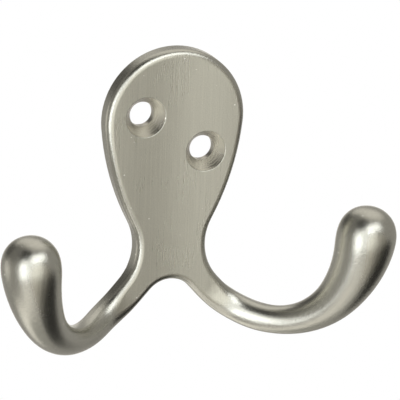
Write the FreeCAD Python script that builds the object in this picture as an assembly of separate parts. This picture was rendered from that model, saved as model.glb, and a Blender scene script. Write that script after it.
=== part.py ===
import FreeCAD
import Part

import math
import os

from FreeCAD import Vector

# A double robe hook, cast in one piece: a pear-shaped wall plate with two countersunk screw holes
# runs down into a narrow waist and splits into two arms. Each arm swings forward from the wall,
# dips, turns up and swells into a round knob.
# Frame: X to the right, Y into the wall, Z up. The wall is the plane y = 0, the front faces -Y,
# and the origin is on the wall, midway between the screw holes. Millimetres and degrees.

# Plate, seen from the front
plate_thickness = 3.6
top_radius = 13.1
top_centre_height = 2.5
flank_radius = 47.9
waist_half_width = 6.55
waist_drop = 21.1
waist_radius = 9.7
crotch_radius = 5.0
front_edge_radius = 1.2
back_edge_radius = 0.4

# Screw holes, one up on the left and one down on the right
hole_offset_x = 5.8
hole_offset_z = 3.6
bore_diameter = 4.6
mouth_diameter = 7.4
mouth_wall = 0.3
mouth_edge_radius = 0.15
countersink_angle = 72.0

# Path of an arm: a line with two bends, drawn on a sheet that curves away from the wall
arm_root_angle = 48.0
arm_root_run = 0.9
dip_radius = 15.65
dip_end_angle = 53.6
rise_radius = 23.1
tip_angle = 80.3
tip_run = 7.15
swing_angle = 36.8
swing_radius = 11.0

# Thickness of an arm: flat like the plate at its root, round further on, full in the knob
arm_root_width = 4.95
knob_diameter = 11.75
neck_run = 13.1
swell_run = 35.0
front_rounding_run = 6.5
back_rounding_run = 19.5
knob_dome = 9.0
knob_fullness = 3.0

# How the arm is drawn
stub_run = 0.3
section_spacing = 2.4
full_roundness = 0.97
through_cut = 1.0

root_angle = math.radians(arm_root_angle)
root_along = Vector(math.cos(root_angle), 0, -math.sin(root_angle))
root_across = Vector(math.sin(root_angle), 0, math.cos(root_angle))
forward = Vector(0, -1, 0)
upward = Vector(0, 0, 1)
origin = Vector(0, 0, 0)


def mirrored(point):
    return Vector(-point.x, point.y, point.z)


def smooth_step(share):
    """Rises from 0 to 1 with level ends."""
    clamped = min(max(share, 0.0), 1.0)
    return clamped * clamped * (3 - 2 * clamped)


# Outline of the plate

top_centre = Vector(0, 0, top_centre_height)
waist_centre = Vector(waist_half_width + waist_radius, 0, -waist_drop)

# The arm's straight edges, as distances from the origin across the arm's direction.
upper_edge = waist_centre.dot(root_across) - waist_radius
lower_edge = upper_edge - arm_root_width
crotch_centre = Vector(0, 0, (lower_edge - crotch_radius) / math.cos(root_angle))

waist_end = waist_centre - root_across * waist_radius
crotch_end = crotch_centre + root_across * crotch_radius
root_distance = max(waist_end.dot(root_along), crotch_end.dot(root_along)) + stub_run
arm_start = root_along * root_distance + root_across * ((upper_edge + lower_edge) / 2)
upper_corner = arm_start + root_across * (arm_root_width / 2)
lower_corner = arm_start - root_across * (arm_root_width / 2)


def flank_centre():
    """Centre of the arc that holds the top arc inside it and touches the waist arc from outside."""
    to_waist = waist_centre - top_centre
    apart = to_waist.Length
    from_top = flank_radius - top_radius
    from_waist = flank_radius + waist_radius
    along = (from_top ** 2 - from_waist ** 2 + apart ** 2) / (2 * apart)
    aside = math.sqrt(from_top ** 2 - along ** 2)
    direction = to_waist * (1 / apart)
    return top_centre + direction * along + Vector(direction.z, 0, -direction.x) * aside


def arc(centre, radius, start, end):
    """The short arc from start to end."""
    middle = (start + end) * 0.5 - centre
    return Part.Arc(start, centre + middle.normalize() * radius, end).toShape()


def line(start, end):
    return Part.LineSegment(start, end).toShape()


def plate_outline():
    flank = flank_centre()
    top_end = top_centre + (top_centre - flank).normalize() * top_radius
    flank_end = flank + (waist_centre - flank).normalize() * flank_radius
    edges = [
        Part.Arc(mirrored(top_end), top_centre + upward * top_radius, top_end).toShape(),
        arc(flank, flank_radius, top_end, flank_end),
        arc(waist_centre, waist_radius, flank_end, waist_end),
        line(waist_end, upper_corner),
        line(upper_corner, lower_corner),
        line(lower_corner, crotch_end),
        arc(crotch_centre, crotch_radius, crotch_end, mirrored(crotch_end)),
        line(mirrored(crotch_end), mirrored(lower_corner)),
        line(mirrored(lower_corner), mirrored(upper_corner)),
        line(mirrored(upper_corner), mirrored(waist_end)),
        arc(mirrored(waist_centre), waist_radius, mirrored(waist_end), mirrored(flank_end)),
        arc(mirrored(flank), flank_radius, mirrored(flank_end), mirrored(top_end)),
    ]
    return Part.Wire(edges)


def outline_edges(solid, height):
    """The edges round the plate at one height off the wall, without the arms' cut ends."""
    found = []
    for edge in solid.Edges:
        middle = edge.CenterOfMass
        at_cut = abs(Vector(abs(middle.x), 0, middle.z).dot(root_along) - root_distance) < stub_run / 4
        if abs(middle.y + height) < back_edge_radius / 4 and not at_cut:
            found.append(edge)
    return found


def plate():
    solid = Part.Face(plate_outline()).extrude(forward * plate_thickness)
    solid = solid.makeFillet(front_edge_radius, outline_edges(solid, plate_thickness))
    return solid.makeFillet(back_edge_radius, outline_edges(solid, 0))


# Arms

dip_end = math.radians(dip_end_angle)
tip_end = math.radians(tip_angle)
swing = math.radians(swing_angle)
dip_run = dip_radius * (dip_end + root_angle)
rise_run = rise_radius * (tip_end - dip_end)
arm_length = arm_root_run + dip_run + rise_run + tip_run

# Sections are set out by distance along the path, then by angle over the knob's dome.
dome_start = arm_length - knob_dome
stations_end = dome_start + knob_dome * math.pi / 2


def path_on_sheet(distance):
    """How far along the sheet, how far up, and at what slope the path runs at a distance."""
    along = 0.0
    up = 0.0
    slope = -root_angle
    left = distance
    for run, turn in ((arm_root_run, 0), (dip_run, dip_radius), (rise_run, rise_radius), (tip_run, 0)):
        step = min(left, run)
        left -= step
        if turn == 0:
            along += step * math.cos(slope)
            up += step * math.sin(slope)
        else:
            next_slope = slope + step / turn
            along += turn * (math.sin(next_slope) - math.sin(slope))
            up += turn * (math.cos(slope) - math.cos(next_slope))
            slope = next_slope
    return along, up, slope


def place_on_arm(distance):
    """Point of the path, with the directions across the arm, level with the wall, and out of its front."""
    along, up, slope = path_on_sheet(distance)
    turned = min(along / swing_radius, swing)
    straight = along - turned * swing_radius
    outward = Vector(math.cos(turned), -math.sin(turned), 0)
    bend = Vector(math.sin(turned), math.cos(turned) - 1, 0) * swing_radius
    point = arm_start + forward * (plate_thickness / 2) + bend + outward * straight + upward * up
    tangent = outward * math.cos(slope) + upward * math.sin(slope)
    across = forward.cross(tangent).normalize()
    return point, across, tangent.cross(across)


def arm_section(station):
    """Control points of a rounded rectangle square to the path, as flats and corner arcs in turn."""
    into_dome = max(station - dome_start, 0) / knob_dome
    distance = min(station, dome_start) + knob_dome * math.sin(into_dome)
    point, across, front = place_on_arm(distance)
    front_rounded = smooth_step(distance / front_rounding_run)
    back_rounded = smooth_step(distance / back_rounding_run)
    swollen = smooth_step((distance - neck_run) / swell_run)
    half_width = arm_root_width / 2 + (knob_diameter - arm_root_width) / 2 * swollen
    half_depth = half_width - (arm_root_width - plate_thickness) / 2 * (1 - back_rounded)
    closing = math.sqrt(1 - math.sin(into_dome) ** knob_fullness)

    def corner(side, face, edge_radius, rounded):
        """A corner that grows from the plate's edge rounding to a quarter of an ellipse."""
        width = edge_radius + (full_roundness * half_width - edge_radius) * rounded
        depth = edge_radius + (full_roundness * half_depth - edge_radius) * rounded
        spots = (
            (side * half_width, face * (half_depth - depth)),
            (side * half_width, face * half_depth),
            (side * (half_width - width), face * half_depth),
        )
        return [point + (across * a + front * b) * closing for a, b in spots]

    corners = [
        corner(1, 1, front_edge_radius, front_rounded),
        corner(-1, 1, front_edge_radius, front_rounded)[::-1],
        corner(-1, -1, back_edge_radius, back_rounded),
        corner(1, -1, back_edge_radius, back_rounded)[::-1],
    ]
    strips = []
    for number, points in enumerate(corners):
        strips.append([corners[number - 1][-1], points[0]])
        strips.append(points)
    return strips


def arm_face(rows, stations):
    """A face through one strip of every section: a flat or a round corner across, smooth along."""
    columns = []
    for points in zip(*rows):
        column = Part.BSplineCurve()
        column.interpolate(Points=list(points), Parameters=stations)
        columns.append(column)
    lead = columns[0]
    wide = len(columns)
    weights = [[1] * lead.NbPoles for column in columns]
    if wide == 3:
        weights[1] = [math.sqrt(0.5)] * lead.NbPoles
    surface = Part.BSplineSurface()
    surface.buildFromPolesMultsKnots(
        [column.getPoles() for column in columns], [wide, wide], lead.getMultiplicities(),
        [0, 1], lead.getKnots(), False, False, wide - 1, lead.Degree, weights)
    return surface.toShape()


def arm():
    """Right arm: a skin over the sections from the plate to the tip, closed where it meets the plate."""
    count = math.ceil(stations_end / section_spacing)
    stations = [0.0, arm_root_run / 2] + [stations_end * step / count for step in range(1, count + 1)]
    sections = [arm_section(station) for station in stations]
    faces = [arm_face(rows, stations) for rows in zip(*sections)]
    skin = Part.Shell(faces)
    skin.sewShape()
    root = Part.Wire(Part.__sortEdges__(skin.getFreeEdges().Edges))
    shell = Part.Shell(skin.Faces + [Part.Face(root)])
    shell.sewShape()
    return Part.Solid(shell)


# Screw holes

def screw_hole(x, z):
    """What a countersunk hole takes away, turned about the screw's axis."""
    bore = bore_diameter / 2
    mouth = mouth_diameter / 2
    slope = math.tan(math.radians(countersink_angle / 2))
    cone_top = mouth_wall - plate_thickness
    profile = Part.makePolygon([
        Vector(x, through_cut, z),
        Vector(x + bore, through_cut, z),
        Vector(x + bore, cone_top + (mouth - bore) / slope, z),
        Vector(x + mouth, cone_top, z),
        Vector(x + mouth, -plate_thickness - through_cut, z),
        Vector(x, -plate_thickness - through_cut, z),
        Vector(x, through_cut, z),
    ])
    return Part.Face(profile).revolve(Vector(x, 0, z), Vector(0, 1, 0), 360)


def mouth_edges(solid):
    """The round edges where the screw holes open on the front."""
    found = []
    for edge in solid.Edges:
        on_front = abs(edge.CenterOfMass.y + plate_thickness) < mouth_edge_radius / 4
        if on_front and isinstance(edge.Curve, Part.Circle) and edge.Closed:
            found.append(edge)
    return found


right_arm = arm()
left_arm = right_arm.mirror(origin, Vector(1, 0, 0))
holes = [screw_hole(-hole_offset_x, hole_offset_z), screw_hole(hole_offset_x, -hole_offset_z)]
drilled = plate().fuse([right_arm, left_arm]).cut(holes)
hook = drilled.makeFillet(mouth_edge_radius, mouth_edges(drilled)).Solids

box = hook[0].BoundBox
print("solids", len(hook), "valid", hook[0].isValid(), "volume", round(hook[0].Volume, 1))
print("size", round(box.XLength, 2), round(box.YLength, 2), round(box.ZLength, 2))

os.makedirs("parts", exist_ok=True)
hook[0].exportStep("parts/hook_casting.step")
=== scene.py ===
import math

import bpy
from mathutils import Matrix, Vector


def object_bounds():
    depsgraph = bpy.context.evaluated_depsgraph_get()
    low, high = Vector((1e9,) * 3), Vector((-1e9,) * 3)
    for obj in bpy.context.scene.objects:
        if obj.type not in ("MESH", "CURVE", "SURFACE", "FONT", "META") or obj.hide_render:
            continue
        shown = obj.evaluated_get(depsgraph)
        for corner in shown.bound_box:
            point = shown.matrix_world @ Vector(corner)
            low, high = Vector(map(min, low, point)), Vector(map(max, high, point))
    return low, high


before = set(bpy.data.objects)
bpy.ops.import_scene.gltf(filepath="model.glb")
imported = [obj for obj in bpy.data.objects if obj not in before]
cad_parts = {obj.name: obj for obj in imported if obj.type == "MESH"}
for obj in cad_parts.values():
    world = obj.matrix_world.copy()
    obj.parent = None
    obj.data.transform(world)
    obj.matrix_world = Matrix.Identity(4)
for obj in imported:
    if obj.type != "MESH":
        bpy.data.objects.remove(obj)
cad_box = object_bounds()

# Metres throughout, in the hook's own frame: X right, Y into the wall, Z up, front facing -Y.
MM = 0.001


# Shared helpers

def to_linear(hex_colour):
    """sRGB hex text to a linear RGBA tuple."""
    channels = [int(hex_colour[start:start + 2], 16) / 255 for start in (1, 3, 5)]
    linear = [c / 12.92 if c <= 0.04045 else ((c + 0.055) / 1.055) ** 2.4 for c in channels]
    return (*linear, 1.0)


def add_node(tree, kind, settings=None, **inputs):
    """Adds a node, sets its properties, then fills or links its inputs by name or number."""
    node = tree.nodes.new(kind)
    for name, value in (settings or {}).items():
        setattr(node, name, value)
    for name, value in inputs.items():
        socket = node.inputs[int(name[1:]) if name[0] == "_" else name.replace("_", " ")]
        if isinstance(value, bpy.types.NodeSocket):
            tree.links.new(value, socket)
        else:
            socket.default_value = value
    return node


def new_material(name):
    material = bpy.data.materials.new(name)
    material.use_nodes = True
    material.node_tree.nodes.clear()
    return material, material.node_tree


# Satin nickel plate on a die-cast zinc body

SCREW_HOLES = ((-5.8 * MM, 0, 3.6 * MM), (5.8 * MM, 0, -3.6 * MM))
MOUTH_RADIUS = 3.7 * MM

FRONT_NICKEL = "#bbb8aa"
ARM_NICKEL = "#bab9b0"
TURNED_NICKEL = "#c8c5bb"
# The specks are painted pale, as glints off tiny pits in the plating
PAINTED_GLINT_NICKEL = "#fbf9f2"

# Brush lines are about 0.05 mm apart. They are drawn at 0.2 mm, the finest that still shows.
# The satin grit and the turned rings are drawn coarser than they are too, so that they show.
BRUSH_LINE_WIDTH = 0.2 * MM
BRUSH_LINE_LENGTH = 22 * MM
BRUSH_LEAN = math.radians(2)
SATIN_GRIT = 0.24 * MM
POLISH_PATCH = 9 * MM
TURNED_RING = 0.3 * MM

# Specks, as shares of their spacing: pale inside the inner radius, gone outside the outer one
PLATING_SPECK_SPACING = 1.9 * MM
SPECK_INNER = 0.05
SPECK_OUTER = 0.075
SPECKS_LEFT_OUT = 0.45

# The front is shaded as if slightly hollow across its width, steepest half way to its edges. This is a
# guess that gives the photograph's tones, lighter on the right than on the left.
HOLLOW_HALF_WIDTH = 14 * MM
HOLLOW_DEPTH = 0.34 * MM
RELIEF_DEPTH = 0.008 * MM


def satin_nickel():
    """Warm grey metal with a soft sheen: brushed up and down the flat front, turned in the screw
    holes, evenly satin on the arms, with a few tiny specks in the plating painted pale as glints."""
    material, tree = new_material("satin_nickel_on_zinc_casting")
    place = add_node(tree, "ShaderNodeTexCoord").outputs["Object"]

    # Where the surface is the flat front, and where it is inside a screw hole
    normal = add_node(tree, "ShaderNodeNewGeometry").outputs["Normal"]
    into_wall = add_node(tree, "ShaderNodeSeparateXYZ", Vector=normal).outputs["Y"]
    flat_front = add_node(
        tree, "ShaderNodeMapRange", {"interpolation_type": "SMOOTHSTEP"},
        _0=into_wall, _1=-0.9, _2=-0.985, _3=0.0, _4=1.0).outputs[0]
    on_plate = add_node(
        tree, "ShaderNodeVectorMath", {"operation": "MULTIPLY"}, _0=place, _1=(1, 0, 1)).outputs[0]
    from_holes = [
        add_node(
            tree, "ShaderNodeVectorMath", {"operation": "DISTANCE"}, _0=on_plate, _1=hole).outputs["Value"]
        for hole in SCREW_HOLES]
    from_hole = add_node(
        tree, "ShaderNodeMath", {"operation": "MINIMUM"}, _0=from_holes[0], _1=from_holes[1]).outputs[0]
    near_hole = add_node(
        tree, "ShaderNodeMath", {"operation": "LESS_THAN"}, _0=from_hole, _1=MOUTH_RADIUS).outputs[0]
    not_front = add_node(tree, "ShaderNodeMath", {"operation": "SUBTRACT"}, _0=1.0, _1=flat_front).outputs[0]
    in_hole = add_node(
        tree, "ShaderNodeMath", {"operation": "MULTIPLY"}, _0=near_hole, _1=not_front).outputs[0]

    # Brush lines up the plate, satin grit everywhere, slow patches where the polishing varied
    along_lines = add_node(
        tree, "ShaderNodeMapping", Vector=place,
        Scale=(1 / BRUSH_LINE_WIDTH, 0, 1 / BRUSH_LINE_LENGTH), Rotation=(0, BRUSH_LEAN, 0))
    lines = add_node(
        tree, "ShaderNodeTexNoise", Vector=along_lines.outputs[0], Scale=1.0, Detail=3.0, Roughness=0.65)
    brushed = add_node(
        tree, "ShaderNodeMath", {"operation": "MULTIPLY"}, _0=lines.outputs[0], _1=flat_front).outputs[0]
    grit = add_node(
        tree, "ShaderNodeTexNoise", Vector=place, Scale=1 / SATIN_GRIT, Detail=2.0, Roughness=0.6).outputs[0]
    patches = add_node(
        tree, "ShaderNodeTexNoise", Vector=place, Scale=1 / POLISH_PATCH, Detail=2.0).outputs[0]
    ring_turns = add_node(
        tree, "ShaderNodeMath", {"operation": "MULTIPLY"}, _0=from_hole, _1=2 * math.pi / TURNED_RING)
    rings = add_node(
        tree, "ShaderNodeMath", {"operation": "SINE"}, _0=ring_turns.outputs[0]).outputs[0]
    turned = add_node(tree, "ShaderNodeMath", {"operation": "MULTIPLY"}, _0=rings, _1=in_hole).outputs[0]

    # Specks in the plating, a few to each square centimetre, painted pale as glints off tiny pits
    spots = add_node(tree, "ShaderNodeTexVoronoi", Vector=place, Scale=1 / PLATING_SPECK_SPACING)
    spot_size = add_node(
        tree, "ShaderNodeMapRange", _0=spots.outputs["Distance"],
        _1=SPECK_OUTER, _2=SPECK_INNER, _3=0.0, _4=1.0).outputs[0]
    spot_pick = add_node(tree, "ShaderNodeSeparateColor", Color=spots.outputs["Color"]).outputs[0]
    spot_kept = add_node(
        tree, "ShaderNodeMath", {"operation": "GREATER_THAN"}, _0=spot_pick, _1=SPECKS_LEFT_OUT).outputs[0]
    painted_speck_glints = add_node(tree, "ShaderNodeMath", {"operation": "MULTIPLY"}, _0=spot_size, _1=spot_kept).outputs[0]

    # Colour: the brush lines and grit vary it a little, the turned cones are paler, and the specks are painted
    # glints
    line_tone = add_node(
        tree, "ShaderNodeMath", {"operation": "MULTIPLY_ADD"}, _0=brushed, _1=0.4, _2=0.81).outputs[0]
    bare_tone = add_node(
        tree, "ShaderNodeMath", {"operation": "MULTIPLY_ADD"}, _0=flat_front, _1=-0.03, _2=0.2).outputs[0]
    even_tone = add_node(
        tree, "ShaderNodeMath", {"operation": "MULTIPLY_ADD"},
        _0=not_front, _1=bare_tone, _2=line_tone).outputs[0]
    grit_tone = add_node(
        tree, "ShaderNodeMath", {"operation": "MULTIPLY_ADD"}, _0=grit, _1=0.36, _2=0.82).outputs[0]
    tone = add_node(
        tree, "ShaderNodeMath", {"operation": "MULTIPLY"}, _0=even_tone, _1=grit_tone).outputs[0]
    nickel = add_node(
        tree, "ShaderNodeMix", {"data_type": "RGBA"},
        _0=flat_front, _6=to_linear(ARM_NICKEL), _7=to_linear(FRONT_NICKEL)).outputs[2]
    metal = add_node(
        tree, "ShaderNodeVectorMath", {"operation": "SCALE"}, _0=nickel, Scale=tone).outputs[0]
    metal = add_node(
        tree, "ShaderNodeMix", {"data_type": "RGBA"},
        _0=in_hole, _6=metal, _7=to_linear(TURNED_NICKEL)).outputs[2]
    colour = add_node(
        tree, "ShaderNodeMix", {"data_type": "RGBA"}, _0=painted_speck_glints, _6=metal, _7=to_linear(PAINTED_GLINT_NICKEL))

    # Sheen: softer along the brush lines and on the turned cones
    patch_sheen = add_node(
        tree, "ShaderNodeMath", {"operation": "MULTIPLY_ADD"}, _0=patches, _1=0.1, _2=0.2).outputs[0]
    line_sheen = add_node(
        tree, "ShaderNodeMath", {"operation": "MULTIPLY_ADD"}, _0=brushed, _1=0.08, _2=patch_sheen).outputs[0]
    sheen = add_node(
        tree, "ShaderNodeMath", {"operation": "MULTIPLY_ADD"}, _0=in_hole, _1=0.02, _2=line_sheen).outputs[0]

    # Relief: lines, grit and turned rings, about a hundredth of a millimetre deep, and the hollow front
    grit_relief = add_node(tree, "ShaderNodeMath", {"operation": "MULTIPLY"}, _0=grit, _1=4.0).outputs[0]
    line_relief = add_node(
        tree, "ShaderNodeMath", {"operation": "MULTIPLY_ADD"}, _0=brushed, _1=1.5, _2=grit_relief).outputs[0]
    fine_relief = add_node(
        tree, "ShaderNodeMath", {"operation": "MULTIPLY_ADD"}, _0=turned, _1=0.5, _2=line_relief).outputs[0]
    across = add_node(tree, "ShaderNodeSeparateXYZ", Vector=place).outputs["X"]
    aside = add_node(tree, "ShaderNodeMath", {"operation": "ABSOLUTE"}, _0=across).outputs[0]
    hollow = add_node(
        tree, "ShaderNodeMapRange", {"interpolation_type": "SMOOTHSTEP"},
        _0=aside, _1=0.0, _2=HOLLOW_HALF_WIDTH, _3=0.0, _4=HOLLOW_DEPTH / RELIEF_DEPTH).outputs[0]
    relief = add_node(tree, "ShaderNodeMath", {"operation": "ADD"}, _0=hollow, _1=fine_relief).outputs[0]
    bump = add_node(tree, "ShaderNodeBump", Strength=1.0, Distance=RELIEF_DEPTH, Height=relief)

    shader = add_node(
        tree, "ShaderNodeBsdfPrincipled", Base_Color=colour.outputs[2], Metallic=1.0, Roughness=sheen,
        Normal=bump.outputs[0])
    add_node(tree, "ShaderNodeOutputMaterial", Surface=shader.outputs["BSDF"])
    return material


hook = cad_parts["hook_casting"]
hook.data.materials.clear()
hook.data.materials.append(satin_nickel())


# Studio: a grey room, two softboxes and a front screen close to the hook

FLOOR_HEIGHT = cad_box[0][2] - 900 * MM
FLOOR_RADIUS = 300 * MM
FLOOR_SIDES = 96
FLOOR_LIFT = 0.45


def pale_floor():
    """A round pale table top, far enough down to stay out of the photograph's view."""
    turns = [2 * math.pi * step / FLOOR_SIDES for step in range(FLOOR_SIDES)]
    points = [(FLOOR_RADIUS * math.cos(turn), FLOOR_RADIUS * math.sin(turn), FLOOR_HEIGHT) for turn in turns]
    mesh = bpy.data.meshes.new("pale_floor")
    mesh.from_pydata(points, [], [tuple(range(FLOOR_SIDES))])
    # Matt white board: pale and even with no sheen. It is lightened for the camera and still takes a shadow.
    material, tree = new_material("matt_white_board")
    paint = add_node(tree, "ShaderNodeBsdfDiffuse", Color=to_linear("#e6e6e3"))
    seen = add_node(tree, "ShaderNodeLightPath").outputs["Is Camera Ray"]
    lift = add_node(tree, "ShaderNodeMath", {"operation": "MULTIPLY"}, _0=seen, _1=FLOOR_LIFT).outputs[0]
    pale = add_node(tree, "ShaderNodeEmission", Color=to_linear("#ffffff"), Strength=lift)
    board = add_node(tree, "ShaderNodeAddShader", _0=paint.outputs[0], _1=pale.outputs[0])
    add_node(tree, "ShaderNodeOutputMaterial", Surface=board.outputs[0])
    mesh.materials.append(material)
    floor = bpy.data.objects.new("pale_floor", mesh)
    bpy.context.scene.collection.objects.link(floor)


# The room that the metal shows, made up to give the light and dark bands seen on the hook: an even grey
# with soft areas. Each has the azimuth and elevation of its middle, its inner and outer radius in degrees,
# and its level, where 1 is white.
ROOM_TINT = "#fffbf3"
ROOM_GREY = 0.42
ROOM_AREAS = (
    (135, 63, 12, 38, 1.0),      # pale ceiling behind
    (-150, 28, 18, 32, 0.12),    # dim wall to the back left
    (-100, 40, 15, 45, 0.25),    # dark corner above on the left
    (-52, 58, 16, 28, 0.06),     # black flag over the front
    (-125, -14, 4, 22, 1.0),     # low window on the left
    (-10, -58, 15, 38, 0.66),    # white table in front
    (-40, -52, 6, 26, 1.1),      # where the softbox lights it
    (-120, -74, 10, 30, 1.4),    # white table below
    (60, 5, 22, 34, 0.42),       # wall on the right
    (62, -42, 20, 36, 0.03),     # black flag below on the right
    (178, 42, 6, 24, 0.95),      # white wall above the backdrop
    (160, -14, 14, 25, 1.0),     # white backdrop behind the hook
)


def aim(azimuth, elevation):
    """The direction at an azimuth, 0 straight in front and positive to the right, and an elevation."""
    turn, lift = math.radians(azimuth), math.radians(elevation)
    return Vector((math.sin(turn) * math.cos(lift), -math.cos(turn) * math.cos(lift), math.sin(lift)))


def studio_room():
    world = bpy.data.worlds.new("studio_room")
    bpy.context.scene.world = world
    world.use_nodes = True
    tree = world.node_tree
    tree.nodes.clear()
    direction = add_node(tree, "ShaderNodeTexCoord").outputs["Generated"]
    level = ROOM_GREY
    for azimuth, elevation, inner, outer, area_level in ROOM_AREAS:
        towards = add_node(
            tree, "ShaderNodeVectorMath", {"operation": "DOT_PRODUCT"},
            _0=direction, _1=aim(azimuth, elevation)).outputs["Value"]
        inside = add_node(
            tree, "ShaderNodeMapRange", {"interpolation_type": "SMOOTHSTEP"}, _0=towards,
            _1=math.cos(math.radians(outer)), _2=math.cos(math.radians(inner)), _3=0.0, _4=1.0).outputs[0]
        level = add_node(tree, "ShaderNodeMix", _0=inside, _2=level, _3=area_level).outputs[0]
    # The camera sees plain white. The metal sees the room, which is white behind the hook too.
    seen = add_node(tree, "ShaderNodeLightPath").outputs["Is Camera Ray"]
    level = add_node(tree, "ShaderNodeMix", _0=seen, _2=level, _3=1.0).outputs[0]
    tint = add_node(
        tree, "ShaderNodeMix", {"data_type": "RGBA"}, _0=seen, _6=to_linear(ROOM_TINT), _7=to_linear("#ffffff"))
    glow = add_node(tree, "ShaderNodeBackground", Color=tint.outputs[2], Strength=level)
    add_node(tree, "ShaderNodeOutputWorld", Surface=glow.outputs[0])


LAMP_TINT = "#fafdff"
HOOK_MIDDLE = Vector((0, -10 * MM, -11 * MM))


def softbox(name, azimuth, elevation, distance, spread_across, spread_up, level):
    """An area lamp aimed at the hook, sized by the angles that it fills and as bright as its level,
    where 1 is white."""
    away = aim(azimuth, elevation)
    lamp = bpy.data.lights.new(name, "AREA")
    lamp.shape = "RECTANGLE"
    lamp.size = 2 * distance * math.tan(math.radians(spread_across / 2))
    lamp.size_y = 2 * distance * math.tan(math.radians(spread_up / 2))
    lamp.energy = level * math.pi * lamp.size * lamp.size_y
    lamp.color = to_linear(LAMP_TINT)[:3]
    holder = bpy.data.objects.new(name, lamp)
    holder.location = HOOK_MIDDLE + away * distance
    holder.rotation_euler = away.to_track_quat("Z", "Y").to_euler()
    holder.visible_camera = False
    bpy.context.scene.collection.objects.link(holder)


pale_floor()
studio_room()
softbox("front_screen", -20, 5, 0.4, 80, 64, 1.14)
softbox("left_softbox", -51, -7, 0.6, 28, 48, 1.5)
softbox("upper_softbox", 16, 42, 0.6, 52, 28, 2.0)


# Camera, set to the photograph's view

VIEW_AZIMUTH = 21.25
VIEW_ELEVATION = 18.07
VIEW_ROLL = 1.86
VIEW_DISTANCE = 1337 * MM
AIM_RIGHT = 5.535 * MM
AIM_UP = -12.76 * MM
FRAME_WIDTH = 400 / 5.6 * MM


def photo_camera():
    turn, lift, roll = (math.radians(a) for a in (VIEW_AZIMUTH, VIEW_ELEVATION, VIEW_ROLL))
    ahead = Vector((math.sin(turn) * math.cos(lift), math.cos(turn) * math.cos(lift), -math.sin(lift)))
    level = Vector((math.cos(turn), -math.sin(turn), 0))
    upright = Vector((math.sin(turn) * math.sin(lift), math.cos(turn) * math.sin(lift), math.cos(lift)))
    right = level * math.cos(roll) + upright * math.sin(roll)
    top = upright * math.cos(roll) - level * math.sin(roll)
    camera = bpy.data.cameras.new("photo_camera")
    camera.sensor_width = 36
    camera.lens = camera.sensor_width * VIEW_DISTANCE / FRAME_WIDTH
    camera.clip_end = 20
    holder = bpy.data.objects.new("photo_camera", camera)
    place = Matrix((right, top, -ahead)).transposed().to_4x4()
    place.translation = right * AIM_RIGHT + top * AIM_UP - ahead * VIEW_DISTANCE
    holder.matrix_world = place
    bpy.context.scene.collection.objects.link(holder)
    bpy.context.scene.camera = holder


photo_camera()
bpy.context.scene.view_settings.view_transform = "Standard"
